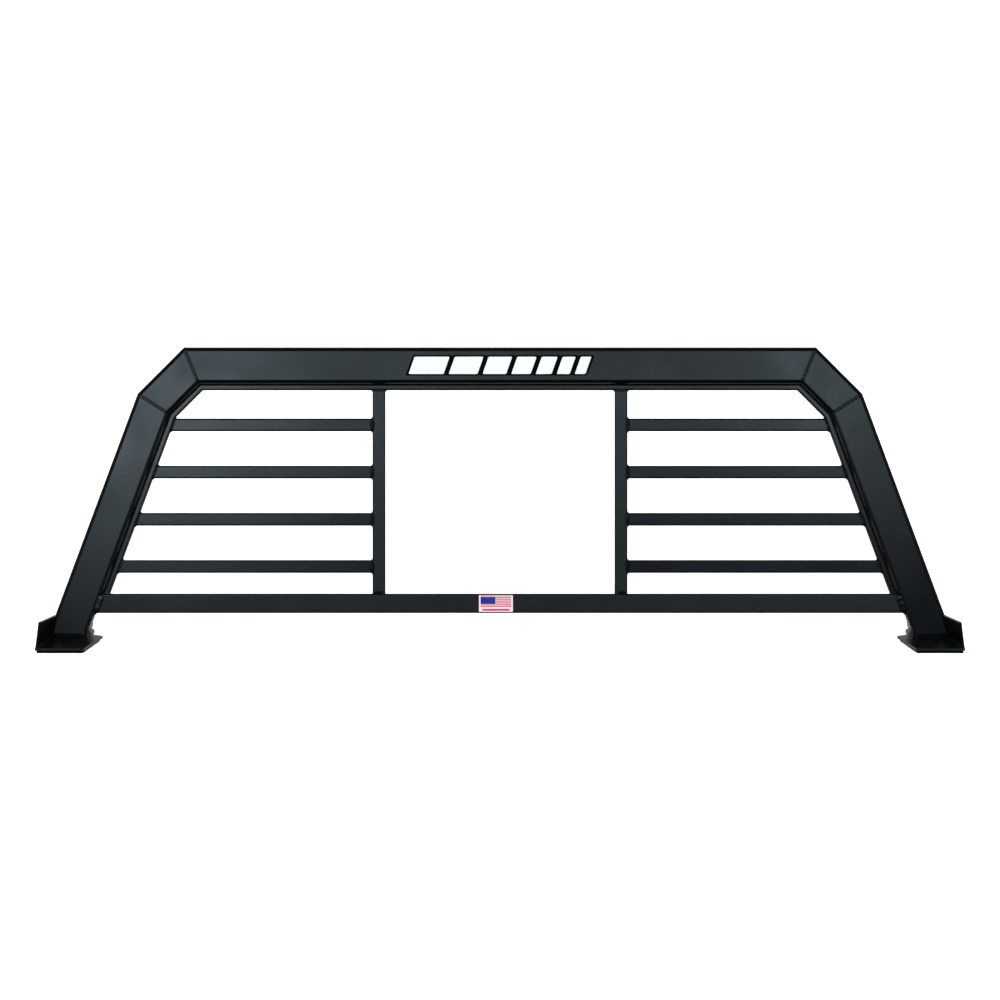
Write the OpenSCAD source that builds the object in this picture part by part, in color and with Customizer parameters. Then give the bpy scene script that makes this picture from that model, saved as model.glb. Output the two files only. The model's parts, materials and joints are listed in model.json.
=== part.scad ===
// Headache rack for a pickup truck: a mitred tube hoop on two footed legs, with
// louvre bars on both sides of an open window and a rail along the bottom.
// The side facing -Y looks at the tailgate; the rack leans forward over +Y, to the cab.

/* [Hoop] */
// Height of the hoop along its own plane, from the base plates to the top edge
rack_h = 568; // [560:1:640]
// Half the width of the hoop across its top corners
top_half_w = 622.4; // [600:0.1:640]
// Half the width of the hoop across its shoulders
shoulder_half_w = 713.7; // [700:0.1:740]
// Half the width of the hoop where its legs meet the base plates
foot_half_w = 891.4; // [880:0.1:900]
// Width of the hoop tube, seen from the front
hoop_w = 71.6; // [64:0.1:76.2]
// Depth of the hoop tube
hoop_d = 50.8; // [50.8:0.1:60]
// Outside corner radius of the hoop tube
hoop_r = 8; // [5:0.1:10]
// Wall thickness of the hoop tube
hoop_wall = 3.2; // [2:0.1:4.5]
// Angle by which the hoop leans toward the cab
lean = 11; // [6:0.5:12]

/* [Liner] */
// Width of the flat liner tube inside the hoop
liner_w = 12.7; // [12:0.1:17]
// Depth of the liner tube, and of the bars and posts that end on it
liner_d = 25.4; // [20:0.1:25.4]
// Outside corner radius of the liner, bar and post tubes
small_r = 3.2; // [1.5:0.1:4]
// Wall thickness of the liner, bar and post tubes
small_wall = 2; // [1.2:0.1:2.4]
// Height of the open lower ends of the leg liners and posts above the rail's lower edge
liner_rise = 6; // [2:1:12]

/* [Bars] */
// Side of the square tube of the louvre bars and posts
bar_side = 25.4; // [20:0.1:25.4]
// Number of louvre bars on each side
bar_count = 4; // [4:1:4]
// Height of the top louvre bar's centre line above the base plates
top_bar_h = 415.4; // [410:0.1:420]
// Distance from one louvre bar to the next
bar_pitch = 93.3; // [88:0.1:96]
// Distance from the middle of the rack to each post's centre line
post_x = 239.2; // [200:0.1:280]

/* [Bottom rail] */
// Height of the bottom rail
rail_w = 38.1; // [30:0.1:40]
// Depth of the bottom rail
rail_d = 24.4; // [20:0.1:24.4]
// Height of the bottom rail's centre line above the base plates
rail_h = 63.5; // [60:0.1:70]
// Distance of the rail's front face behind the hoop's front face
rail_setback = 1; // [0.5:0.1:1]

/* [Feet] */
// Thickness of the base plates
plate_t = 5; // [4:0.5:6]
// Thickness of the rubber pads under the base plates
pad_t = 5.4; // [2:0.1:6]
// How far the pads stay inside the outline of the base plates
pad_inset = 3; // [1:0.5:6]
// Distance from the middle of the rack to the outer front corner of a base plate
front_outer_x = 904.2; // [900:0.1:910]
// Distance from the middle of the rack to the inner front corner of a base plate
front_inner_x = 808.6; // [800:0.1:815]
// Distance from the middle of the rack to the tip of a base plate's inner wing
wing_tip_x = 782; // [775:0.5:800]
// Distance from the middle of the rack to the plate's inner side beside the leg
waist_inner_x = 803; // [798:0.5:808]
// Distance from the middle of the rack to the plate's outer side beside the leg
waist_outer_x = 896; // [892:0.5:900]
// Distance from the middle of the rack to the inner side of the plate's rear tongue
tongue_inner_x = 812; // [808:0.5:820]
// Distance from the middle of the rack to the outer side of the plate's rear tongue
tongue_outer_x = 888; // [880:0.5:892]
// Corner cut at the end of the rear tongue
tongue_corner = 12; // [6:1:20]
// How far the base plates reach in front of the legs
plate_front = 105; // [95:1:115]
// How far the base plates reach behind the front of the legs
plate_rear = 126; // [120:1:140]
// Distance from the middle of the rack to the mounting bolts
bolt_x = 852; // [845:0.5:860]
// Diameter of the mounting bolt holes
bolt_hole_d = 11; // [9:0.5:13]
// Distance between the two mounting bolts of a foot
bolt_spacing = 150; // [145:1:155]
// Distance from the front of the leg back to the middle of the bolt pair
bolt_mid_y = 19; // [10:1:25]
// Thickness of the gusset plates
gusset_t = 5; // [4:0.5:6]
// Height of the gusset at its front end
gusset_front_h = 52.6; // [45:0.1:56]
// Height of the gusset where it meets the leg
gusset_rear_h = 42; // [38:0.1:48]
// Angle by which the gusset turns in toward the leg
gusset_yaw = 11.2; // [8:0.1:20]
// Angle by which the gusset leans inward from the upright
gusset_tilt = 8.35; // [5:0.05:12]
// Distance of the gusset's front end behind the front edge of the base plate
gusset_setback = 3; // [2:0.5:8]

/* [Welds] */
// Leg length of the triangular welds in corners
weld_leg = 5; // [3:0.5:7]
// Width of the low beads over flush seams
bead_w = 6; // [4:0.5:8]
// Height of the low beads over flush seams
bead_h = 0.8; // [0.4:0.1:1.2]
// Gap between two welds that would otherwise touch at a corner
weld_gap = 0.5; // [0.5:0.1:1]

/* [Trim] */
// Width of the beam decal
decal_w = 360; // [300:1:380]
// Height of the beam decal
decal_h = 34; // [30:1:44]
// Width of the rail sticker
sticker_w = 67; // [60:1:80]
// Height of the rail sticker
sticker_h = 33; // [28:1:34]
// Distance of the rail sticker's middle to the left of the middle of the rack
sticker_shift = 8; // [0:1:20]
// Number of slanted blocks in the beam decal
decal_blocks = 7; // [5:1:9]
// Gap between two blocks of the beam decal
decal_gap = 10; // [6:1:14]
// Sideways slant of the blocks from their foot to their top
decal_slant = 12; // [6:1:18]
// Width of a block of the beam decal relative to the block before it
decal_shrink = 0.82; // [0.7:0.01:0.95]
// Thickness of both stickers
sticker_t = 0.4; // [0.3:0.1:0.6]

/* [Hidden] */
$fn = 48;

powder_black = "#23282b";
weld_black = "#2e3437";
rubber_black = "#141414";
decal_white = "#eef0f0";
sticker_blue = "#3a4a8c";

// Lengths that reach well past every cut
far = 400;
overrun = 60;
skin = 1;

plate_top = pad_t + plate_t;
rail_low = rail_h - rail_w / 2;
rail_high = rail_h + rail_w / 2;

// The hoop's outer edge in its own plane, from the left foot over the top to the
// right foot. The shoulders are cut at 45 degrees.
shoulder_h = rack_h - (shoulder_half_w - top_half_w);
hoop_edge = [
    [-foot_half_w, 0], [-shoulder_half_w, shoulder_h], [-top_half_w, rack_h],
    [top_half_w, rack_h], [shoulder_half_w, shoulder_h], [foot_half_w, 0]
];
leg_slope = atan((foot_half_w - shoulder_half_w) / shoulder_h);

// Depth of the liner's front face behind the hoop's front face
liner_front = hoop_d - liner_d;
// Distance of the liner's inner side from the hoop's outer edge
frame_w = hoop_w + liner_w;

// The origin lies under the middle of the rack's whole depth, from the front edge
// of the base plates to the back of the top beam.
rear_reach = rack_h * sin(lean) + hoop_d * cos(lean) - hoop_r * (cos(lean) + sin(lean) - 1);
face_y = (plate_front - rear_reach) / 2;

function along(i) = (hoop_edge[i + 1] - hoop_edge[i]) / norm(hoop_edge[i + 1] - hoop_edge[i]);
function inward(i) = [along(i)[1], -along(i)[0]];

// Where the line that runs inset from the hoop's edge turns at corner i
function corner(i, inset) =
    hoop_edge[i] + inset * (inward(i - 1) + inward(i)) / (1 + inward(i - 1) * inward(i));
// The same line's lower ends, far enough below the base plates to be trimmed there
function low_end(i, side, inset) =
    hoop_edge[i] + inset * inward(side) + (i == 0 ? -1 : 1) * overrun * along(side);
function path_point(i, inset) =
    i == 0 ? low_end(0, 0, inset) : i == 5 ? low_end(5, 4, inset) : corner(i, inset);

// Half the distance between the hoop's inner sides at a height in its plane
function inner_half_w(h, inset) =
    foot_half_w - h * tan(leg_slope) - inset / cos(leg_slope);

// Places its children in the hoop's leaning plane: X across, Y back into the depth
// and Z up the plane, from the line where the legs meet the base plates.
module in_rack_plane() {
    translate([0, face_y, plate_top]) rotate([-lean, 0, 0]) children();
}

module both_sides() {
    children();
    mirror([1, 0, 0]) children();
}

module rounded_rectangle(w, d, r) {
    square([w - 2 * r, d], center = true);
    square([w, d - 2 * r], center = true);
    for (x = [-1, 1], y = [-1, 1]) translate([x * (w / 2 - r), y * (d / 2 - r)]) circle(r);
}

module tube_section(w, d, r, wall) {
    difference() {
        rounded_rectangle(w, d, r);
        rounded_rectangle(w - 2 * wall, d - 2 * wall, max(r - wall, 0.5));
    }
}

// One straight tube of the hoop or liner between corners i and i + 1, mitred at both
// ends. Its outer side runs inset from the hoop's edge.
module mitred_tube(i, inset, w, d, r, wall, front) {
    from = path_point(i, inset + w / 2);
    to = path_point(i + 1, inset + w / 2);
    dir = along(i);
    outline = [
        path_point(i, inset - skin), path_point(i + 1, inset - skin),
        path_point(i + 1, inset + w + skin), path_point(i, inset + w + skin)
    ];
    intersection() {
        translate([from[0], front + d / 2, from[1]])
            rotate([0, atan2(dir[0], dir[1]), 0])
            translate([0, 0, -far / 2])
            linear_extrude(norm(to - from) + far) tube_section(w, d, r, wall);
        translate([0, front + d + skin, 0])
            rotate([90, 0, 0])
            linear_extrude(d + 2 * skin) polygon(outline);
    }
}

// Cuts its children off at the top face of the base plates
module trimmed_at_plate() {
    difference() {
        in_rack_plane() children();
        translate([-foot_half_w - far, -far, plate_top - far])
            cube([2 * (foot_half_w + far), 2 * far, far]);
    }
}

// Cuts its children off at a height in the hoop's plane
module trimmed_at(h) {
    difference() {
        children();
        translate([-foot_half_w - far, -far, h - far])
            cube([2 * (foot_half_w + far), 2 * far, far]);
    }
}

module hoop_tube(i) {
    mitred_tube(i, 0, hoop_w, hoop_d, hoop_r, hoop_wall, 0);
}

module liner_tube(i) {
    mitred_tube(i, hoop_w, liner_w, liner_d, small_r, small_wall, liner_front);
}

module left_leg() { color(powder_black) trimmed_at_plate() hoop_tube(0); }
module left_diagonal() { color(powder_black) in_rack_plane() hoop_tube(1); }
module top_beam() { color(powder_black) in_rack_plane() hoop_tube(2); }
module right_diagonal() { color(powder_black) in_rack_plane() hoop_tube(3); }
module right_leg() { color(powder_black) trimmed_at_plate() hoop_tube(4); }

// The liners of the legs end behind the bottom rail
module leg_liner(i) {
    color(powder_black) in_rack_plane() trimmed_at(rail_low + liner_rise) liner_tube(i);
}

module left_leg_liner() { leg_liner(0); }
module left_diagonal_liner() { color(powder_black) in_rack_plane() liner_tube(1); }
module top_liner() { color(powder_black) in_rack_plane() liner_tube(2); }
module right_diagonal_liner() { color(powder_black) in_rack_plane() liner_tube(3); }
module right_leg_liner() { leg_liner(4); }

// A square tube across one side, from the post to the liner, with its outer end cut
// to the slope of the leg
module crossbar(number) {
    h = top_bar_h - (number - 1) * bar_pitch;
    reach = bar_side / 2 + skin;
    outline = [
        [post_x + bar_side / 2, h - reach], [inner_half_w(h - reach, frame_w), h - reach],
        [inner_half_w(h + reach, frame_w), h + reach], [post_x + bar_side / 2, h + reach]
    ];
    intersection() {
        translate([post_x, liner_front + bar_side / 2, h])
            rotate([0, 90, 0])
            linear_extrude(foot_half_w) tube_section(bar_side, bar_side, small_r, small_wall);
        translate([0, hoop_d + skin, 0])
            rotate([90, 0, 0])
            linear_extrude(bar_side + 2 * skin) polygon(outline);
    }
}

module right_crossbar(number) {
    color(powder_black) in_rack_plane() crossbar(number);
}

module left_crossbar(number) {
    color(powder_black) in_rack_plane() mirror([1, 0, 0]) crossbar(number);
}

// A post from just above the bottom edge of the rail, behind it, up to the top liner
module post() {
    foot = rail_low + liner_rise;
    translate([post_x, liner_front + bar_side / 2, foot])
        linear_extrude(rack_h - frame_w - foot)
        tube_section(bar_side, bar_side, small_r, small_wall);
}

module right_post() { color(powder_black) in_rack_plane() post(); }
module left_post() { color(powder_black) in_rack_plane() mirror([1, 0, 0]) post(); }

// The rail runs in front of the liner and ends on the inner sides of both legs
module bottom_rail() {
    low = rail_low - skin;
    high = rail_high + skin;
    outline = [
        [-inner_half_w(low, hoop_w), low], [inner_half_w(low, hoop_w), low],
        [inner_half_w(high, hoop_w), high], [-inner_half_w(high, hoop_w), high]
    ];
    color(powder_black) in_rack_plane() intersection() {
        translate([-foot_half_w, rail_setback + rail_d / 2, rail_h])
            rotate([0, 90, 0])
            linear_extrude(2 * foot_half_w)
            tube_section(rail_w, rail_d, small_r, small_wall);
        translate([0, rail_setback + rail_d + skin, 0])
            rotate([90, 0, 0])
            linear_extrude(rail_d + 2 * skin) polygon(outline);
    }
}

// Outline of the right foot from above, with Y from the front of the leg. It is wide
// in front of the leg, has a pointed wing on its inner side and a tongue behind.
waist_front = 12;
waist_rear = 52;
shoulder_outer = 58;
shoulder_inner = 66;
tongue_start = 70;

module foot_outline(inset) {
    polygon([
        [front_outer_x - inset, inset - plate_front],
        [front_inner_x + inset, inset - plate_front],
        [wing_tip_x + 2 * inset, 0],
        [waist_inner_x + inset, waist_front - inset / 2],
        [waist_inner_x + inset, waist_rear],
        [tongue_inner_x + inset, shoulder_inner],
        [tongue_inner_x + inset, plate_rear - tongue_corner],
        [tongue_inner_x + tongue_corner, plate_rear - inset],
        [tongue_outer_x - tongue_corner, plate_rear - inset],
        [tongue_outer_x - inset, plate_rear - tongue_corner],
        [tongue_outer_x - inset, tongue_start],
        [waist_outer_x - inset, shoulder_outer]
    ]);
}

// Two bolt holes on a line from front to rear, one on each side of the leg
module bolt_holes() {
    for (end = [-1, 1])
        translate([bolt_x, bolt_mid_y + end * bolt_spacing / 2, -skin])
            cylinder(d = bolt_hole_d, h = plate_top + 2 * skin);
}

module base_plate() {
    translate([0, face_y, 0]) difference() {
        translate([0, 0, pad_t]) linear_extrude(plate_t) foot_outline(0);
        bolt_holes();
    }
}

module foot_pad() {
    translate([0, face_y, 0]) difference() {
        linear_extrude(pad_t) foot_outline(pad_inset);
        bolt_holes();
    }
}

module right_base_plate() { color(powder_black) base_plate(); }
module left_base_plate() { color(powder_black) mirror([1, 0, 0]) base_plate(); }
module right_foot_pad() { color(rubber_black) foot_pad(); }
module left_foot_pad() { color(rubber_black) mirror([1, 0, 0]) foot_pad(); }

// The gusset stands on the outer side of the plate, turned in toward the leg and
// leaning with it, and stops at the leg's front and outer side.
module leg_envelope() {
    outline = [
        path_point(4, 0), path_point(5, 0),
        path_point(5, frame_w), path_point(4, frame_w)
    ];
    in_rack_plane()
        translate([0, hoop_d, 0])
        rotate([90, 0, 0])
        linear_extrude(hoop_d) polygon(outline);
}

module in_gusset_plane() {
    translate([front_outer_x, face_y - plate_front, plate_top])
        rotate([0, 0, gusset_yaw])
        rotate([0, -gusset_tilt, 0])
        children();
}

module gusset() {
    reach = plate_front / cos(gusset_yaw);
    tail = hoop_d / 2;
    drop = (gusset_front_h - gusset_rear_h) * tail / reach;
    difference() {
        in_gusset_plane()
            rotate([90, 0, -90])
            linear_extrude(gusset_t)
            polygon([
                [-reach - tail, -gusset_t],
                [-reach - tail, gusset_rear_h - drop],
                [-gusset_setback, gusset_front_h],
                [-gusset_setback, -gusset_t]
            ]);
        leg_envelope();
        translate([foot_half_w - far / 2, -far, plate_top - far]) cube([far, 2 * far, far]);
    }
}

module right_gusset() { color(powder_black) gusset(); }
module left_gusset() { color(powder_black) mirror([1, 0, 0]) gusset(); }

// A low bead along X on a face that looks to -Y, centred on its seam
module flat_bead(length) {
    r = (bead_w * bead_w / 4 + bead_h * bead_h) / (2 * bead_h);
    intersection() {
        translate([-length / 2, r - bead_h, 0]) rotate([0, 90, 0]) cylinder(r = r, h = length);
        translate([-length / 2, -bead_h - skin, -bead_w])
            cube([length, bead_h + skin, 2 * bead_w]);
    }
}

// A low bead on the front or back face of the hoop's plane, from point p to point q
module plane_bead(p, q, depth, to_back = false) {
    middle = (p + q) / 2;
    step = q - p;
    translate([middle[0], depth, middle[1]])
        rotate([0, -atan2(step[1], step[0]), 0])
        mirror([0, to_back ? 1 : 0, 0])
        flat_bead(norm(step));
}

// A triangular weld in a corner of the hoop's plane, running back into the depth
module corner_weld(apex, side_a, side_b, front, depth) {
    translate([0, front + depth, 0])
        rotate([90, 0, 0])
        linear_extrude(depth)
        polygon([apex, apex + weld_leg * side_a, apex + weld_leg * side_b]);
}

module mitre_welds() {
    color(weld_black) in_rack_plane() for (i = [1:4]) {
        outer = corner(i, bead_w);
        inner = corner(i, hoop_w - bead_w);
        plane_bead(outer, inner, 0);
        plane_bead(corner(i, 2 * bead_w), inner, hoop_d, true);
    }
}

// The seam between the hoop's inner side and the front of the liner: one bead along each
// straight, with a small gap between beads at the corners. Those on the legs end on the
// bottom rail.
module liner_weld(i) {
    side = weld_leg - weld_gap;
    dir = along(i);
    from = path_point(i, hoop_w);
    outline = [
        path_point(i, hoop_w) + weld_gap * dir,
        path_point(i + 1, hoop_w) - weld_gap * dir,
        path_point(i + 1, hoop_w + weld_leg) - weld_gap * dir,
        path_point(i, hoop_w + weld_leg) + weld_gap * dir
    ];
    intersection() {
        translate([from[0], liner_front, from[1]])
            rotate([0, atan2(dir[0], dir[1]), 0])
            translate([0, 0, -far / 2])
            linear_extrude(far + 2 * foot_half_w)
            polygon([[0, 0], [side, 0], [0, -side]]);
        translate([0, liner_front, 0])
            rotate([90, 0, 0])
            linear_extrude(weld_leg) polygon(outline);
    }
}

module liner_welds() {
    color(weld_black) in_rack_plane() for (i = [0:4])
        trimmed_at(rail_high + weld_leg) liner_weld(i);
}

module crossbar_welds() {
    up_leg = [-sin(leg_slope), cos(leg_slope)];
    left = [-1, 0];
    right = [1, 0];
    up = [0, 1];
    solid_front = liner_front + small_r;
    solid_d = bar_side - 2 * small_r;
    color(weld_black) in_rack_plane() both_sides() for (number = [1:bar_count]) {
        low = top_bar_h - (number - 1) * bar_pitch - bar_side / 2;
        high = low + bar_side;
        post_side = post_x + bar_side / 2;
        low_leg = [inner_half_w(low, frame_w), low];
        high_leg = [inner_half_w(high, frame_w), high];
        corner_weld([post_side, high], right, up, solid_front, solid_d);
        corner_weld([post_side, low], right, -up, solid_front, solid_d);
        corner_weld(high_leg, left, up_leg, solid_front, solid_d);
        corner_weld(low_leg, left, -up_leg, solid_front, solid_d);
        plane_bead([post_side, low + small_r], [post_side, high - small_r], liner_front);
        plane_bead(low_leg + small_r * up_leg, high_leg - small_r * up_leg, liner_front);
    }
}

module post_welds() {
    top = rack_h - frame_w;
    color(weld_black) in_rack_plane() both_sides() {
        for (side = [-1, 1])
            corner_weld([post_x + side * bar_side / 2, top], [side, 0], [0, -1],
                        liner_front + small_r, bar_side - 2 * small_r);
        plane_bead([post_x - bar_side / 2 + small_r, top],
                   [post_x + bar_side / 2 - small_r, top], liner_front);
        translate([post_x - bar_side / 2 + small_r, liner_front, rail_high])
            rotate([90, 0, 90])
            linear_extrude(bar_side - 2 * small_r)
            polygon([[0, 0], [-weld_leg, 0], [0, weld_leg]]);
    }
}

module rail_welds() {
    up_leg = [-sin(leg_slope), cos(leg_slope)];
    left = [-1, 0];
    low_leg = [inner_half_w(rail_low, hoop_w), rail_low];
    high_leg = [inner_half_w(rail_high, hoop_w), rail_high];
    front = hoop_r;
    depth = liner_front - weld_leg - front;
    color(weld_black) in_rack_plane() both_sides() {
        corner_weld(high_leg, left, up_leg, front, depth);
        corner_weld(low_leg, left, -up_leg, front, depth);
        plane_bead(low_leg + [-bead_w / 2, 0] + small_r * up_leg,
                   high_leg + [-bead_w / 2, 0] - small_r * up_leg, rail_setback);
    }
}

// A triangular weld on the base plate along X, in front of a wall that faces -Y
module plate_weld(length) {
    rotate([90, 0, 90]) linear_extrude(length)
        polygon([[0, 0], [-weld_leg, 0], [0, weld_leg]]);
}

module foot_welds() {
    leg_inner_x = inner_half_w(0, hoop_w) + hoop_r;
    leg_face_w = foot_half_w - hoop_r - leg_inner_x;
    leg_back_y = hoop_d / cos(lean);
    gusset_start = 2 * weld_leg;
    gusset_run = plate_front - 2 * gusset_start;
    color(weld_black) both_sides() {
        translate([leg_inner_x, face_y, plate_top]) plate_weld(leg_face_w - gusset_t - weld_leg);
        translate([leg_inner_x + leg_face_w, face_y + leg_back_y, plate_top])
            rotate([0, 0, 180])
            plate_weld(leg_face_w);
        in_gusset_plane()
            translate([-gusset_t - weld_gap, gusset_start, weld_gap])
            rotate([0, 0, 90])
            mirror([0, 1, 0])
            plate_weld(gusset_run);
    }
}

// A row of slanted blocks on the middle of the top beam, each narrower than the last
module beam_decal() {
    room = decal_w - decal_slant - (decal_blocks - 1) * decal_gap;
    first_w = room * (1 - decal_shrink) / (1 - pow(decal_shrink, decal_blocks));
    low = rack_h - hoop_w / 2 - decal_h / 2;
    function block_x(k) =
        first_w * (1 - pow(decal_shrink, k)) / (1 - decal_shrink) + k * decal_gap - decal_w / 2;
    color(decal_white) in_rack_plane() for (k = [0:decal_blocks - 1]) {
        w = first_w * pow(decal_shrink, k);
        rotate([90, 0, 0])
            linear_extrude(sticker_t)
            translate([block_x(k), low])
            polygon([[0, 0], [w, 0], [w + decal_slant, decal_h], [decal_slant, decal_h]]);
    }
}

// A plain rectangular label on the middle of the bottom rail
module rail_sticker() {
    color(sticker_blue) in_rack_plane()
        translate([-sticker_shift - sticker_w / 2, rail_setback - sticker_t,
                   rail_h - sticker_h / 2])
        cube([sticker_w, sticker_t, sticker_h]);
}

top_beam();
left_diagonal();
right_diagonal();
left_leg();
right_leg();
top_liner();
left_diagonal_liner();
right_diagonal_liner();
left_leg_liner();
right_leg_liner();
left_post();
right_post();
left_crossbar(1);  // left_crossbar_1
left_crossbar(2);  // left_crossbar_2
left_crossbar(3);  // left_crossbar_3
left_crossbar(4);  // left_crossbar_4
right_crossbar(1);  // right_crossbar_1
right_crossbar(2);  // right_crossbar_2
right_crossbar(3);  // right_crossbar_3
right_crossbar(4);  // right_crossbar_4
bottom_rail();
left_base_plate();
right_base_plate();
left_gusset();
right_gusset();
left_foot_pad();
right_foot_pad();
mitre_welds();
liner_welds();
crossbar_welds();
post_welds();
rail_welds();
foot_welds();
beam_decal();
rail_sticker();
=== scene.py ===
"""Looks of the headache rack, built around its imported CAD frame."""

import json
import math
import random

import bpy
from mathutils import Matrix, Vector

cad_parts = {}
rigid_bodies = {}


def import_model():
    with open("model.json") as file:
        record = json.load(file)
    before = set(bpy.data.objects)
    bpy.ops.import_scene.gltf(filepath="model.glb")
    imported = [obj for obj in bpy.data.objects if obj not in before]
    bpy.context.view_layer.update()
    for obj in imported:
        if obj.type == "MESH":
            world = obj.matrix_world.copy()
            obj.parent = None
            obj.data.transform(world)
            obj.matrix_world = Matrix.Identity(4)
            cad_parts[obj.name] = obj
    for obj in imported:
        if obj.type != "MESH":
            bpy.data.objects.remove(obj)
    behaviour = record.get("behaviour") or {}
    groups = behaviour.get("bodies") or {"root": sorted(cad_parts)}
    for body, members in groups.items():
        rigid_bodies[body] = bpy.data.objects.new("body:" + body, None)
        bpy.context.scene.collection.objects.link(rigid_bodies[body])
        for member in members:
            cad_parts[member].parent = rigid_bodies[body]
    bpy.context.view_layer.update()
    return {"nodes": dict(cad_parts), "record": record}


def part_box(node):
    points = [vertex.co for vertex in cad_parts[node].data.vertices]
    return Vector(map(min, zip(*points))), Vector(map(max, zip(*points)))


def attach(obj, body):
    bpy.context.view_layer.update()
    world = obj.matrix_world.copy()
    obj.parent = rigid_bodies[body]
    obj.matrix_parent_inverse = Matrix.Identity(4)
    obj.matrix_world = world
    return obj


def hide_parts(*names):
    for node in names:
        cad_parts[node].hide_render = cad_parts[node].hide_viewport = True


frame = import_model()
scene = bpy.context.scene
nodes = frame["nodes"]
MM = 0.001
random.seed(7)


# ---------------------------------------------------------------- the rack's plane

def leaning_plane():
    """The matrix from the rack's own plane (across, back, up) to the row frame, and the
    rack's lean, both from the front face of the top beam."""
    facing = [p for p in nodes["top_beam"].data.polygons if p.normal.y < -0.9]
    widest = max(p.area for p in facing)
    front = min((p for p in facing if p.area > 0.8 * widest), key=lambda p: p.center.y)
    normal = front.normal.normalized()
    lean = math.atan2(normal.z, -normal.y)
    floor_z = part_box("left_base_plate")[1].z
    point = front.center
    rise = (point.z - floor_z) / math.cos(lean)
    origin = Vector((0, point.y - rise * math.sin(lean), floor_z))
    return Matrix.Translation(origin) @ Matrix.Rotation(-lean, 4, "X"), lean


PLANE, LEAN = leaning_plane()
TO_PLANE = PLANE.inverted()


def plane_points(node):
    """A CAD node's vertices in the rack's plane: across, back, up."""
    return [TO_PLANE @ v.co for v in nodes[node].data.vertices]


def plane_box(node):
    """The lowest and highest corner of a CAD node in the rack's plane."""
    points = plane_points(node)
    low = Vector([min(p[i] for p in points) for i in range(3)])
    high = Vector([max(p[i] for p in points) for i in range(3)])
    return low, high


def edge_x(node, level, pick, reach=0.4 * MM):
    """The furthest X, by pick, of a CAD node's vertices at a height in the plane."""
    return pick(p.x for p in plane_points(node) if abs(p.z - level) < reach)


# ---------------------------------------------------------------- materials

# The part of a noise's range that colours and values are spread over
NOISE_LOW, NOISE_HIGH = 0.3, 0.7
# The sockets of a mix node that hold colours
MIX_A, MIX_B, MIX_OUT = 6, 7, 2


class Nodes:
    """A small helper that adds nodes to one material and links them."""

    def __init__(self, name):
        self.material = bpy.data.materials.new(name)
        self.material.use_nodes = True
        self.tree = self.material.node_tree
        self.shader = self.tree.nodes["Principled BSDF"]
        coords = self.tree.nodes.new("ShaderNodeTexCoord")
        self.place = coords.outputs["Object"]

    def add(self, kind, **values):
        node = self.tree.nodes.new(kind)
        for key, value in values.items():
            if key in node.inputs:
                node.inputs[key].default_value = value
            else:
                setattr(node, key, value)
        return node

    def link(self, source, target):
        self.tree.links.new(source, target)

    def noise(self, scale, detail=2.0, roughness=0.5):
        node = self.add("ShaderNodeTexNoise", Scale=scale, Detail=detail, Roughness=roughness)
        self.link(self.place, node.inputs["Vector"])
        return node.outputs["Fac"]

    def between(self, fac, low, high, from_low=NOISE_LOW, from_high=NOISE_HIGH):
        """fac stretched from one range of values to another."""
        node = self.add("ShaderNodeMapRange")
        node.inputs["From Min"].default_value = from_low
        node.inputs["From Max"].default_value = from_high
        node.inputs["To Min"].default_value = low
        node.inputs["To Max"].default_value = high
        self.link(fac, node.inputs["Value"])
        return node.outputs["Result"]

    def colours(self, fac, low, high):
        """A colour ramp from low to high over the middle of a noise."""
        node = self.add("ShaderNodeValToRGB")
        stops = ((NOISE_LOW, low), (NOISE_HIGH, high))
        for element, (position, colour) in zip(node.color_ramp.elements, stops):
            element.position = position
            element.color = (*colour, 1)
        self.link(fac, node.inputs["Fac"])
        return node.outputs["Color"]

    def maths(self, operation, first, second):
        node = self.add("ShaderNodeMath", operation=operation)
        for socket, value in zip(node.inputs, (first, second)):
            if isinstance(value, (int, float)):
                socket.default_value = value
            else:
                self.link(value, socket)
        return node.outputs["Value"]

    def blend(self, fac, first, second):
        node = self.add("ShaderNodeMix", data_type="RGBA")
        self.link(fac, node.inputs["Factor"])
        self.link(first, node.inputs[MIX_A])
        self.link(second, node.inputs[MIX_B])
        return node.outputs[MIX_OUT]

    def bump(self, height, distance, strength, after=None):
        node = self.add("ShaderNodeBump", Strength=strength, Distance=distance)
        self.link(height, node.inputs["Height"])
        if after is not None:
            self.link(after, node.inputs["Normal"])
        return node.outputs["Normal"]

    def shade(self, socket, source):
        """Feeds a socket of the surface shader from a node, or with a plain value."""
        target = self.shader.inputs[socket]
        if isinstance(source, (int, float)):
            target.default_value = source
        else:
            self.link(source, target)


def powder_coat(name, roughness, ripple=0.0):
    """Satin black powder coat: orange peel, a fine grain and soft patches of sheen."""
    m = Nodes(name)
    patches = m.noise(scale=9, detail=3)
    peel = m.noise(scale=420, detail=1.5)
    grain = m.noise(scale=2600, detail=2, roughness=0.65)
    vary = 0.03
    sheen = m.between(patches, roughness - vary, roughness + vary)
    fine = m.between(grain, -vary, vary)
    coarse = m.bump(peel, distance=0.12 * MM, strength=0.35 + ripple)
    m.shade("Base Color", m.colours(patches, (0.0050, 0.0066, 0.0072), (0.0075, 0.0094, 0.0102)))
    m.shade("Roughness", m.maths("ADD", sheen, fine))
    m.shade("Normal", m.bump(grain, distance=0.025 * MM, strength=0.4, after=coarse))
    m.shade("Specular IOR Level", 0.5)
    return m.material


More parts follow.
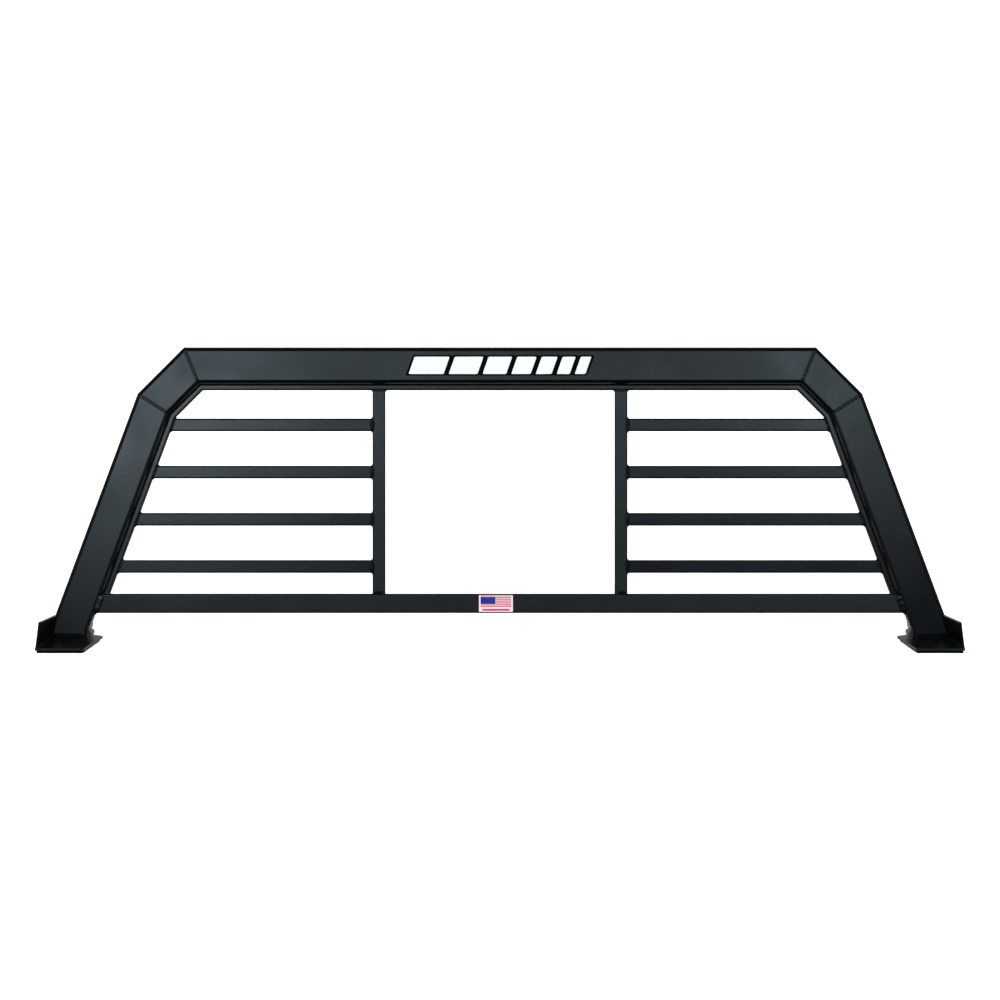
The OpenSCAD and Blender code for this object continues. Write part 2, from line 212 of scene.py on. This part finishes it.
def rubber(name):
    """Matt black rubber with a fine speckle."""
    m = Nodes(name)
    speckle = m.noise(scale=900, detail=3, roughness=0.6)
    patches = m.noise(scale=30, detail=3)
    m.shade("Base Color", m.colours(patches, (0.003, 0.003, 0.003), (0.006, 0.006, 0.006)))
    m.shade("Roughness", m.between(speckle, 0.62, 0.85))
    m.shade("Normal", m.bump(speckle, distance=0.15 * MM, strength=0.5))
    m.shade("Specular IOR Level", 0.15)
    return m.material


def vinyl(name, low, high, roughness=0.45, specular=0.25):
    """Printed sticker film: nearly even colour with a slightly wavy gloss."""
    m = Nodes(name)
    print_grain = m.noise(scale=1500)
    wave = m.noise(scale=60)
    vary = 0.05
    m.shade("Base Color", m.colours(print_grain, low, high))
    m.shade("Roughness", m.between(wave, roughness - vary, roughness + vary))
    m.shade("Normal", m.bump(wave, distance=0.2 * MM, strength=0.2))
    m.shade("Specular IOR Level", specular)
    return m.material


COAT = powder_coat("powder_coat", roughness=0.275)
WELD_COAT = powder_coat("coated_weld", roughness=0.27, ripple=0.05)
RUBBER = rubber("foot_rubber")
WHITE = vinyl("white_vinyl", (0.78, 0.79, 0.79), (0.86, 0.87, 0.87))
BLACK = vinyl("decal_outline_black", (0.002, 0.002, 0.002), (0.004, 0.004, 0.004),
              roughness=0.6, specular=0.02)


# ---------------------------------------------------------------- weld beads

class Bead:
    """One mesh that collects the rippled beads of a group of welds."""

    # Segments across a bead's section, and rings to one ripple
    ACROSS = 8
    PER_RIPPLE = 5
    # How far a bead's blunt end reaches past its taper, as a part of its leg
    BLUNT = 0.15
    # How far the middle of a ripple runs ahead of its sides, as a part of the pitch
    LAG = 0.55
    # Depth of a bead's underside below its toes
    ROOT = 0.35 * MM

    def __init__(self):
        self.verts = []
        self.faces = []

    def add(self, start, end, side_a, side_b, out, leg, height, pitch=2.6 * MM, ends=0.6,
            ripple=0.38, crown=2):
        """A bead in the rack's plane from start to end. Its section runs from the toe
        leg * side_a to the toe leg * side_b and is height proud of the line between.
        A crown of 2 is round; a higher one is flatter on top, with steeper sides."""
        start, end = Vector(start), Vector(end)
        side_a, side_b, out = Vector(side_a), Vector(side_b), Vector(out)
        length = (end - start).length
        across = self.ACROSS
        steps = max(6, round(length / pitch * self.PER_RIPPLE))
        phase = random.random()
        wobble = random.random() * 100
        base = len(self.verts)
        ring = across + 2
        for i in range(steps + 1):
            t = i / steps
            s = t * length
            blunt = self.BLUNT * leg
            taper = min(1, (s + blunt) / (ends * leg), (length - s + blunt) / (ends * leg))
            grow = math.sqrt(max(0.02, taper))
            sway = 1 + 0.06 * math.sin(s * 610 + wobble) + 0.05 * math.sin(s * 1710 + 2 * wobble)
            root = start.lerp(end, t)
            for j in range(across + 1):
                u = j / across
                arc = 1 - abs(2 * u - 1) ** crown
                turn = s / pitch + phase - self.LAG * arc
                crest = abs(math.sin(math.pi * turn))
                lift = height * (1 - ripple + ripple * crest) * math.sqrt(max(arc, 0)) * grow * sway
                toe = leg * (0.93 + 0.07 * crest) * grow * sway
                self.verts.append(root + toe * ((1 - u) * side_a + u * side_b) + lift * out)
            self.verts.append(root - self.ROOT * out)
        for i in range(steps):
            a, b = base + i * ring, base + (i + 1) * ring
            for j in range(ring):
                k = (j + 1) % ring
                self.faces.append((a + j, a + k, b + k, b + j))
        self.faces.append(tuple(base + j for j in reversed(range(ring))))
        self.faces.append(tuple(base + steps * ring + j for j in range(ring)))

    def make(self, name, node, flat_plane=True):
        """The piece that takes the place of a CAD node of welds. With flat_plane its points
        are in the rack's plane, and without it they are in the row frame."""
        mesh = bpy.data.meshes.new(name)
        place = PLANE if flat_plane else Matrix.Identity(4)
        mesh.from_pydata([place @ v for v in self.verts], [], self.faces)
        mesh.validate()
        mesh.shade_smooth()
        mesh.materials.append(WELD_COAT)
        piece = bpy.data.objects.new(name, mesh)
        scene.collection.objects.link(piece)
        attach(piece, "root")
        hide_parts(node)
        return piece


# ---------------------------------------------------------------- weld groups

UP, DOWN = Vector((0, 0, 1)), Vector((0, 0, -1))
LEFT, RIGHT = Vector((-1, 0, 0)), Vector((1, 0, 0))
FRONT, BACK = Vector((0, -1, 0)), Vector((0, 1, 0))
# Half width and height of the beads; how far each mitre bead stops short of the corners
MITRE_HALF = 3.3 * MM
MITRE_LIFT = 1.2 * MM
MITRE_SHORT = 6.5 * MM
MITRE_BACK_SHORT = 14 * MM
MITRE_SIDE_SHORT = 9 * MM
SIDE_LIFT = 0.8 * MM
BEAD_HALF = 3.2 * MM
BEAD_LIFT = 1.3 * MM
FILLET = 4.2 * MM
FILLET_LIFT = 0.5 * MM
SMALL_FILLET = 2.6 * MM
TUBE_R = 3.2 * MM
BAR_PITCH = 3.7 * MM
BAR_AT_POST = {"leg": 4.4 * MM, "height": 1.4 * MM, "ripple": 0.55}
BAR_AT_LEG = {"leg": 3.2 * MM, "height": 1.7 * MM, "ripple": 0.2}
RAIL_END = {"leg": 7.5 * MM, "height": 0.8 * MM, "ripple": 0.3, "pitch": 13 * MM}

beam_low, beam_high = plane_box("top_beam")
rail_low, rail_high = plane_box("bottom_rail")
HOOP_W = beam_high.z - beam_low.z
HOOP_D = beam_high.y - beam_low.y
LINER_FRONT = plane_box("top_liner")[0].y

# Outer corners of the right half of the hoop, and the foot of its outer edge
TOP_CORNER = Vector((beam_high.x, 0, beam_high.z))
leg_points = plane_points("right_leg")
shoulder = max(leg_points, key=lambda p: p.z)
SHOULDER_CORNER = Vector((shoulder.x, 0, shoulder.z))
foot = max((p for p in leg_points if p.y < 0.2 * HOOP_D), key=lambda p: p.x)
FOOT_CORNER = Vector((foot.x, 0, foot.z))
LEG = (FOOT_CORNER - SHOULDER_CORNER).normalized()


def mirrored(v):
    """A point on the other side of the rack."""
    return Vector((-v.x, v.y, v.z))


def edge_path():
    """The hoop's outer edge from its right foot over the top to its left foot."""
    right = [FOOT_CORNER, SHOULDER_CORNER, TOP_CORNER]
    return right + [mirrored(v) for v in reversed(right)]


def inset_path(inset, depth):
    """That edge moved inward, at a depth, with its corners on the mitres; and the
    directions along and inward of each length."""
    edge = edge_path()
    along = [(b - a).normalized() for a, b in zip(edge, edge[1:])]
    inward = [Vector((-d.z, 0, d.x)) for d in along]
    points = []
    for i, p in enumerate(edge):
        before, after = inward[max(i - 1, 0)], inward[min(i, len(inward) - 1)]
        shift = inset * (before + after) / (1 + before.dot(after))
        points.append(Vector((p.x, depth, p.z)) + Vector((shift.x, 0, shift.z)))
    return points, along, inward


def mitre_welds():
    """Beads over the four mitres of the hoop: in front, behind and on the outer side."""
    bead = Bead()
    outer, along, _ = inset_path(0, 0)
    inner, _, _ = inset_path(HOOP_W, 0)
    for i in range(1, 5):
        across = (inner[i] - outer[i]).normalized()
        side = Vector((across.z, 0, -across.x))
        start = outer[i] + MITRE_SHORT * across
        end = inner[i] - MITRE_SHORT * across
        bead.add(start, end, side, -side, FRONT, MITRE_HALF, MITRE_LIFT, ripple=0.12, crown=5)
        back = Vector((0, HOOP_D, 0))
        back_start = outer[i] + MITRE_BACK_SHORT * across + back
        bead.add(back_start, end + back, side, -side, BACK, BEAD_HALF, SIDE_LIFT)
        near = Vector((0, MITRE_SIDE_SHORT, 0))
        deep = Vector((0, HOOP_D - MITRE_SIDE_SHORT, 0))
        before, after = along[i - 1], along[i]
        bead.add(outer[i] + near, outer[i] + deep, -before, after, -across, BEAD_HALF, SIDE_LIFT)
    bead.make("mitre_weld_beads", "mitre_welds")


def liner_welds():
    """The long fillet in front of the liner, ending just above the bottom rail."""
    bead = Bead()
    path, along, inward = inset_path(HOOP_W, LINER_FRONT)
    stop = rail_high.z + 4 * MM
    for i in range(5):
        start, end = path[i], path[i + 1]
        if i == 0:
            start = start.lerp(end, (stop - start.z) / (end.z - start.z))
        if i == 4:
            end = end.lerp(start, (stop - end.z) / (start.z - end.z))
        out = (FRONT + inward[i]).normalized()
        bead.add(start, end, 0.9 * inward[i], 0.9 * FRONT, out, FILLET, 0.7 * MM, ends=0.2)
    bead.make("liner_weld_beads", "liner_welds")


def crossbar_welds():
    """Every bar end: a flush bead in front and behind, fillets above and below."""
    bead = Bead()
    for side in ("left", "right"):
        sign = 1 if side == "right" else -1
        for number in range(1, 5):
            node = f"{side}_crossbar_{number}"
            low, high = plane_box(node)
            near = low.x if sign > 0 else high.x
            pick = max if sign > 0 else min
            far_low = edge_x(node, low.z, pick)
            far_high = edge_x(node, high.z, pick)
            out = RIGHT * sign
            for x_low, x_high, at_post in ((near, near, True), (far_low, far_high, False)):
                bottom = Vector((x_low, low.y, low.z))
                top = Vector((x_high, low.y, high.z))
                rise = (top - bottom).normalized()
                across = Vector((rise.z, 0, -rise.x))
                shape = BAR_AT_POST if at_post else BAR_AT_LEG
                for depth, face in ((0, FRONT), (high.y - low.y, BACK)):
                    shift = Vector((0, depth, 0))
                    bead.add(bottom + shift + TUBE_R * rise, top + shift - TUBE_R * rise,
                             across, -across, face, pitch=BAR_PITCH, **shape)
                along_bar = out if at_post else -out
                deep = Vector((0, high.y - low.y - TUBE_R, 0))
                skin = Vector((0, TUBE_R, 0))
                for spot, wall in ((top, rise), (bottom, -rise)):
                    bead.add(spot + skin, spot + deep, along_bar, wall,
                             (along_bar + wall).normalized(), SMALL_FILLET, FILLET_LIFT)
    bead.make("crossbar_weld_beads", "crossbar_welds")


def post_welds():
    """Both posts: round their tops under the liner, and where they pass the rail."""
    bead = Bead()
    for side in ("left", "right"):
        low, high = plane_box(f"{side}_post")
        for depth, face in ((low.y, FRONT), (high.y, BACK)):
            bead.add(Vector((low.x + TUBE_R, depth, high.z)),
                     Vector((high.x - TUBE_R, depth, high.z)), UP, DOWN, face, 0.9 * BEAD_HALF, 0.8 * BEAD_LIFT)
        for x, away in ((low.x, LEFT), (high.x, RIGHT)):
            bead.add(Vector((x, low.y + TUBE_R, high.z)), Vector((x, high.y - TUBE_R, high.z)),
                     away, DOWN, (away + DOWN).normalized(), SMALL_FILLET, FILLET_LIFT)
            bead.add(Vector((x, low.y, low.z)), Vector((x, low.y, rail_high.z - TUBE_R)),
                     away, BACK, (away + BACK).normalized(), FILLET, FILLET_LIFT)
        bead.add(Vector((low.x + TUBE_R, low.y, rail_high.z)),
                 Vector((high.x - TUBE_R, low.y, rail_high.z)),
                 FRONT, UP, (FRONT + UP).normalized(), FILLET, FILLET_LIFT)
    bead.make("post_weld_beads", "post_welds")


def rail_welds():
    """Both ends of the rail, with a heavy bead over the gap to the rounded leg."""
    bead = Bead()
    for sign in (-1, 1):
        pick = max if sign > 0 else min
        x_low = edge_x("bottom_rail", rail_low.z, pick)
        x_high = edge_x("bottom_rail", rail_high.z, pick)
        bottom = Vector((x_low, rail_low.y, rail_low.z))
        top = Vector((x_high, rail_low.y, rail_high.z))
        rise = (top - bottom).normalized()
        across = Vector((rise.z, 0, -rise.x)) * sign
        inward = -RIGHT * sign
        lump = 0.2 * MM * FRONT - 0.5 * MM * RIGHT * sign
        bead.add(bottom + lump + TUBE_R * rise, top + lump - TUBE_R * rise, across, -across,
                 FRONT, **RAIL_END)
        for spot, wall in ((top, rise), (bottom, -rise)):
            bead.add(spot + Vector((0, 5 * MM, 0)), spot + Vector((0, rail_high.y - rail_low.y, 0)),
                     inward, wall, (inward + wall).normalized(), FILLET, FILLET_LIFT)
    bead.make("rail_weld_beads", "rail_welds")


def foot_welds():
    """Round the foot of each leg and along the inside of each gusset."""
    bead = Bead()
    plate_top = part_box("left_base_plate")[1].z
    inner = FOOT_CORNER.x - HOOP_W / LEG.dot(DOWN)
    for sign in (-1, 1):
        outer_x, inner_x = sign * FOOT_CORNER.x, sign * inner
        toward = RIGHT * sign
        front_y = PLANE.translation.y
        back_y = front_y + HOOP_D / math.cos(LEAN)
        for y, face, short in ((front_y, FRONT, 6 * MM), (back_y, BACK, 14 * MM)):
            bead.add(Vector((inner_x, y, plate_top)) + short * toward,
                     Vector((outer_x, y, plate_top)) - short * toward,
                     face, UP, (face + UP).normalized(), 1.2 * FILLET, 1.2 * FILLET_LIFT,
                     pitch=3 * MM)
        near = Vector((0, 6 * MM, 0))
        slope = Vector((-sign * LEG.x, 0, -LEG.z))
        bead.add(Vector((outer_x, front_y, plate_top)) + near,
                 Vector((outer_x, back_y, plate_top)) - near, toward, slope, (toward + slope).normalized(), FILLET, FILLET_LIFT)
        gusset = nodes["right_gusset" if sign > 0 else "left_gusset"]
        start, end = gusset_foot(gusset, sign, plate_top)
        run = (end - start).normalized()
        bead.add(start + 4 * MM * run, end - 6 * MM * run, -toward, UP,
                 (UP - toward).normalized(), FILLET, FILLET_LIFT)
    bead.make("foot_weld_beads", "foot_welds", flat_plane=False)


def gusset_foot(gusset, sign, plate_top):
    """The line where the gusset's inner face meets the base plate, front to rear."""
    low = [v.co for v in gusset.data.vertices if v.co.z < plate_top + 0.2 * MM]
    reach = 4 * MM
    front = [p for p in low if p.y < min(q.y for q in low) + reach]
    rear = [p for p in low if p.y > max(q.y for q in low) - reach]
    return [min(end, key=lambda p: sign * p.x).copy() for end in (front, rear)]


mitre_welds()
liner_welds()
crossbar_welds()
post_welds()
rail_welds()
foot_welds()


# ---------------------------------------------------------------- tubes, plates and pads

# Rounding of the plates' edges, and the angle from which an edge counts as sharp
PLATE_EDGE = 1.0 * MM
SHARP = math.radians(40)


def dress_nodes():
    """The CAD nodes that stay in view get their procedural materials."""
    for sub in frame["record"]["subparts"]:
        finish = {"powder_coat": COAT, "foot_rubber": RUBBER}.get(sub["material_slot"])
        if finish:
            mesh = nodes[sub["node"]].data
            mesh.materials.clear()
            mesh.materials.append(finish)
        if sub["node"].endswith(("base_plate", "gusset")):
            soften = nodes[sub["node"]].modifiers.new("soften", "BEVEL")
            soften.width = PLATE_EDGE
            soften.segments = 3
            soften.limit_method = "ANGLE"
            soften.angle_limit = SHARP


dress_nodes()


# ---------------------------------------------------------------- decals

def plate_mesh(name, outline, depth, thickness, material, soften=0.15 * MM):
    """A thin flat film with the given outline (across, up), standing proud of a face."""
    count = len(outline)
    verts = []
    for level, shrink in ((0, 0), (thickness - soften, 0), (thickness, soften)):
        middle = sum((Vector(p) for p in outline), Vector((0, 0))) / count
        for p in outline:
            toward = (middle - Vector(p)).normalized() * shrink
            verts.append(PLANE @ Vector((p[0] + toward.x, depth - level, p[1] + toward.y)))
    faces = [tuple(range(count)), tuple(2 * count + i for i in reversed(range(count)))]
    for level in range(2):
        for i in range(count):
            k = (i + 1) % count
            a, b = level * count, (level + 1) * count
            faces.append((a + k, a + i, b + i, b + k))
    mesh = bpy.data.meshes.new(name)
    mesh.from_pydata(verts, [], faces)
    mesh.validate()
    mesh.materials.append(material)
    piece = bpy.data.objects.new(name, mesh)
    scene.collection.objects.link(piece)
    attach(piece, "root")
    return piece


def rounded(points, radius, steps=6):
    """An outline with each corner turned into a small arc."""
    result = []
    count = len(points)
    for i in range(count):
        p = Vector(points[i])
        before = (Vector(points[i - 1]) - p).normalized()
        after = (Vector(points[(i + 1) % count]) - p).normalized()
        for k in range(steps + 1):
            t = k / steps
            a, b = p + before * radius, p + after * radius
            result.append(tuple(a.lerp(p, t).lerp(p.lerp(b, t), t)))
    return result


BLOCKS = 7
BLOCK_GAP = 10 * MM
BLOCK_SLANT = 12 * MM
BLOCK_SHRINK = 0.82
FILM = 0.3 * MM
OUTLINE_FILM = 0.12 * MM
# How far an outline reaches past its block: across, across at the sharp corners, and up
OUTLINE_EDGE = 6 * MM
OUTLINE_SHARP = 0.6 * OUTLINE_EDGE
OUTLINE_LIP = 3 * MM


def beam_decal():
    """Slanted white blocks on the top beam, each narrower than the one before."""
    low, high = plane_box("beam_decal")
    slant, edge, lip = BLOCK_SLANT, OUTLINE_EDGE, OUTLINE_LIP
    room = high.x - low.x - slant - (BLOCKS - 1) * BLOCK_GAP
    width = room * (1 - BLOCK_SHRINK) / (1 - BLOCK_SHRINK ** BLOCKS)
    x = low.x
    for k in range(BLOCKS):
        corners = [(x, low.z), (x + width, low.z), (x + width + slant, high.z), (x + slant, high.z)]
        piece = plate_mesh(f"decal_block_{k + 1}", rounded(corners, 2.5 * MM), high.y,
                           FILM, WHITE)
        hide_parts("beam_decal")
        around = [(x - edge, low.z - lip), (x + width + OUTLINE_SHARP, low.z - lip),
                  (x + width + slant + edge, high.z + lip),
                  (x + slant - OUTLINE_SHARP, high.z + lip)]
        piece = plate_mesh(f"decal_outline_{k + 1}", rounded(around, 3.5 * MM), high.y,
                           OUTLINE_FILM, BLACK, 0.05 * MM)
        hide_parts("beam_decal")
        x += width + BLOCK_GAP
        width *= BLOCK_SHRINK


# Areas of the label, as parts of its width and its height, and its stripes
FLAG = ((0.05, 0.95), (0.25, 0.97))
FOOTER = ((0.10, 0.90), (0.07, 0.18))
FIELD = ((0.05, 0.48), (0.50, 0.90))
STRIPES = 8.0
STRIPE_START = 0.46


def label_material():
    """A printed label: a white border, thin red stripes and a plain blue field."""
    low, high = plane_box("rail_sticker")
    row_low, row_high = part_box("rail_sticker")
    m = Nodes("label_vinyl")
    split = m.add("ShaderNodeSeparateXYZ")
    m.link(m.place, split.inputs["Vector"])
    up = m.between(split.outputs["Z"], 0, 1, row_low.z, row_high.z)
    across = m.between(split.outputs["X"], 0, 1, low.x, high.x)

    def inside(value, limits):
        return m.maths("MULTIPLY", m.maths("GREATER_THAN", value, limits[0]),
                       m.maths("LESS_THAN", value, limits[1]))

    def area(limits):
        return m.maths("MULTIPLY", inside(across, limits[0]), inside(up, limits[1]))

    turns = m.maths("FRACT", m.maths("MULTIPLY", up, STRIPES), 0)
    stripe = m.maths("GREATER_THAN", turns, STRIPE_START)
    red = m.maths("MAXIMUM", m.maths("MULTIPLY", stripe, area(FLAG)), area(FOOTER))
    grain = m.noise(scale=1200)
    paper = m.colours(grain, (0.80, 0.62, 0.66), (0.86, 0.70, 0.74))
    ink = m.colours(grain, (0.42, 0.03, 0.07), (0.50, 0.05, 0.09))
    blue = m.colours(grain, (0.008, 0.014, 0.22), (0.014, 0.024, 0.29))
    striped = m.blend(red, paper, ink)
    m.shade("Base Color", m.blend(area(FIELD), striped, blue))
    m.shade("Roughness", m.between(m.noise(scale=60), 0.4, 0.5))
    m.shade("Specular IOR Level", 0.25)
    return m.material


def rail_label():
    """The small printed label on the bottom rail."""
    low, high = plane_box("rail_sticker")
    corners = [(low.x, low.z), (high.x, low.z), (high.x, high.z), (low.x, high.z)]
    piece = plate_mesh("rail_label", rounded(corners, 1.5 * MM), high.y, FILM, label_material())
    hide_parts("rail_sticker")


beam_decal()
rail_label()


# ---------------------------------------------------------------- floor, light and camera

CAMERA_DISTANCE = 8.0
VIEW_WIDTH = 1.968
AXIS_HEIGHT = 0.336
AIM_HEIGHT = 0.2673
# Colour of the strips, their usual height in the rack's plane and their distance from it
COOL = (0.72, 0.89, 1.0)
LIGHT_LEVEL = 0.59
LIGHT_REACH = 3.0


def light_only(lamp, pieces):
    """Keeps a lamp's light to the given pieces."""
    group = bpy.data.collections.new(lamp.name + "_only")
    for piece in pieces:
        group.objects.link(piece)
    lamp.light_linking.receiver_collection = group


def sun(name, energy, angle, place):
    """A sun of a given angular size in degrees, shining straight down."""
    light = bpy.data.lights.new(name, "SUN")
    light.energy = energy
    light.angle = math.radians(angle)
    lamp = bpy.data.objects.new(name, light)
    lamp.location = place
    scene.collection.objects.link(lamp)
    return lamp


def floor():
    """A wide pale floor. Its own sun lights it and nothing else, and only the foot pads
    shade it. The rack neither mirrors the floor nor gets light from it."""
    mesh = bpy.data.meshes.new("floor")
    reach = 60
    corners = [(-reach, -reach, 0), (reach, -reach, 0), (reach, reach, 0), (-reach, reach, 0)]
    mesh.from_pydata(corners, [], [(0, 1, 2, 3)])
    m = Nodes("floor")
    m.shade("Base Color", m.colours(m.noise(scale=3), (0.86, 0.86, 0.86), (0.88, 0.88, 0.88)))
    m.shade("Roughness", 0.9)
    m.shade("Specular IOR Level", 0.0)
    mesh.materials.append(m.material)
    piece = bpy.data.objects.new("floor", mesh)
    scene.collection.objects.link(piece)
    piece.visible_glossy = False
    piece.visible_diffuse = False
    lamp = sun("floor_sun", energy=5.6, angle=100, place=(0, 0, 4))
    light_only(lamp, [piece])
    feet = bpy.data.collections.new("floor_sun_shadows")
    for side in ("left", "right"):
        feet.objects.link(nodes[side + "_foot_pad"])
    lamp.light_linking.blocker_collection = feet


def ranged(tree, value, from_low, from_high, to_low, to_high):
    """A value of the world's nodes, stretched from one range to another."""
    node = tree.nodes.new("ShaderNodeMapRange")
    node.inputs["From Min"].default_value = from_low
    node.inputs["From Max"].default_value = from_high
    node.inputs["To Min"].default_value = to_low
    node.inputs["To Max"].default_value = to_high
    tree.links.new(value, node.inputs["Value"])
    return node.outputs["Result"]


def joined(tree, operation, first, second):
    """Two values of the world's nodes, added or multiplied."""
    node = tree.nodes.new("ShaderNodeMath")
    node.operation = operation
    tree.links.new(first, node.inputs[0])
    tree.links.new(second, node.inputs[1])
    return node.outputs["Value"]


def world():
    """A soft studio all round the rack: dim in front, where the strips do the work, and
    brighter at the sides and behind. The camera itself sees only white."""
    studio = bpy.data.worlds.new("studio")
    scene.world = studio
    studio.use_nodes = True
    tree = studio.node_tree
    background = tree.nodes["Background"]
    path = tree.nodes.new("ShaderNodeLightPath")
    coords = tree.nodes.new("ShaderNodeTexCoord")
    split = tree.nodes.new("ShaderNodeSeparateXYZ")
    tree.links.new(coords.outputs["Generated"], split.inputs["Vector"])
    back, up = split.outputs["Y"], split.outputs["Z"]
    dim, bright, side_level = 0.02, 0.5, 0.2
    behind = ranged(tree, back, -0.10, 0.40, dim, bright)
    beside = joined(tree, "MULTIPLY", ranged(tree, back, -0.88, -0.78, 0, 1),
                    ranged(tree, back, -0.3, 0, 1, 0))
    level = joined(tree, "MULTIPLY", ranged(tree, up, -0.45, -0.25, 0, 1),
                   ranged(tree, up, 0.25, 0.45, 1, 0))
    sides = ranged(tree, joined(tree, "MULTIPLY", beside, level), 0, 1, 0, side_level)
    mix = tree.nodes.new("ShaderNodeMix")
    mix.inputs["B"].default_value = 1.0
    tree.links.new(path.outputs["Is Camera Ray"], mix.inputs["Factor"])
    tree.links.new(joined(tree, "ADD", behind, sides), mix.inputs["A"])
    tree.links.new(mix.outputs["Result"], background.inputs["Strength"])
    background.inputs["Color"].default_value = (1, 1, 1, 1)


def soft_box(name, place, aim, width, height, power):
    """A cool rectangular lamp that the camera doesn't see."""
    light = bpy.data.lights.new(name, "AREA")
    light.shape = "RECTANGLE"
    light.size, light.size_y = width, height
    light.energy = power
    light.color = COOL
    lamp = bpy.data.objects.new(name, light)
    lamp.location = place
    lamp.rotation_euler = (Vector(aim) - Vector(place)).to_track_quat("-Z", "Y").to_euler()
    scene.collection.objects.link(lamp)
    lamp.visible_camera = False
    return lamp


def strip(name, x, width, height, power, level=LIGHT_LEVEL):
    """A soft strip in front of the rack, square to its plane."""
    return soft_box(name, PLANE @ Vector((x, -LIGHT_REACH, level)), PLANE @ Vector((x, 0, level)),
                    width, height, power)


def film_light():
    """A sun of their own for the printed films, from the upper left in front."""
    lamp = sun("film_sun", energy=4.4, angle=10, place=(-2, -3, 3))
    lamp.rotation_euler = Vector((0.9, 1.0, -0.7)).to_track_quat("-Z", "Y").to_euler()
    films = ("decal_block", "rail_label")
    light_only(lamp, [o for o in scene.objects if o.name.startswith(films)])


def plate_light():
    """A low strip that picks out the front edges of the base plates."""
    lamp = soft_box("plate_edge", place=(0, -3.4, 0.1), aim=(0, 0, 0.01), width=2.8,
                    height=0.1, power=46)
    light_only(lamp, [nodes["left_base_plate"], nodes["right_base_plate"]])


def low_light():
    """A little more light on the lower half of the posts and on the rail between them."""
    lamp = strip("low_fill", x=0.4, width=2.0, height=0.1, power=1.3, level=-0.045)
    light_only(lamp, [nodes["left_post"], nodes["right_post"], nodes["bottom_rail"]])


def camera():
    """On the rack's own normal, with a long lens."""
    lens = bpy.data.cameras.new("camera")
    lens.sensor_width = 36
    lens.lens = lens.sensor_width * CAMERA_DISTANCE / VIEW_WIDTH
    lens.clip_end = 200
    eye = bpy.data.objects.new("camera", lens)
    place = PLANE @ Vector((0, -CAMERA_DISTANCE, AXIS_HEIGHT))
    aim = PLANE @ Vector((0, 0, AIM_HEIGHT))
    eye.location = place
    eye.rotation_euler = (aim - place).to_track_quat("-Z", "Y").to_euler()
    scene.collection.objects.link(eye)
    scene.camera = eye


floor()
world()
strip("left_key", x=-1.12, width=0.75, height=0.3, power=3.5)
strip("left_accent", x=-0.97, width=0.13, height=0.2, power=2.6, level=0.42)
strip("beam_accent", x=-0.74, width=0.2, height=0.2, power=1.2)
strip("middle_key", x=0, width=1.5, height=0.3, power=3.75)
strip("right_key", x=1.12, width=0.75, height=0.3, power=2.2)
strip("right_accent", x=0.95, width=0.12, height=0.12, power=1.8, level=0.6)
film_light()
plate_light()
low_light()
camera()
scene.view_settings.view_transform = "Standard"
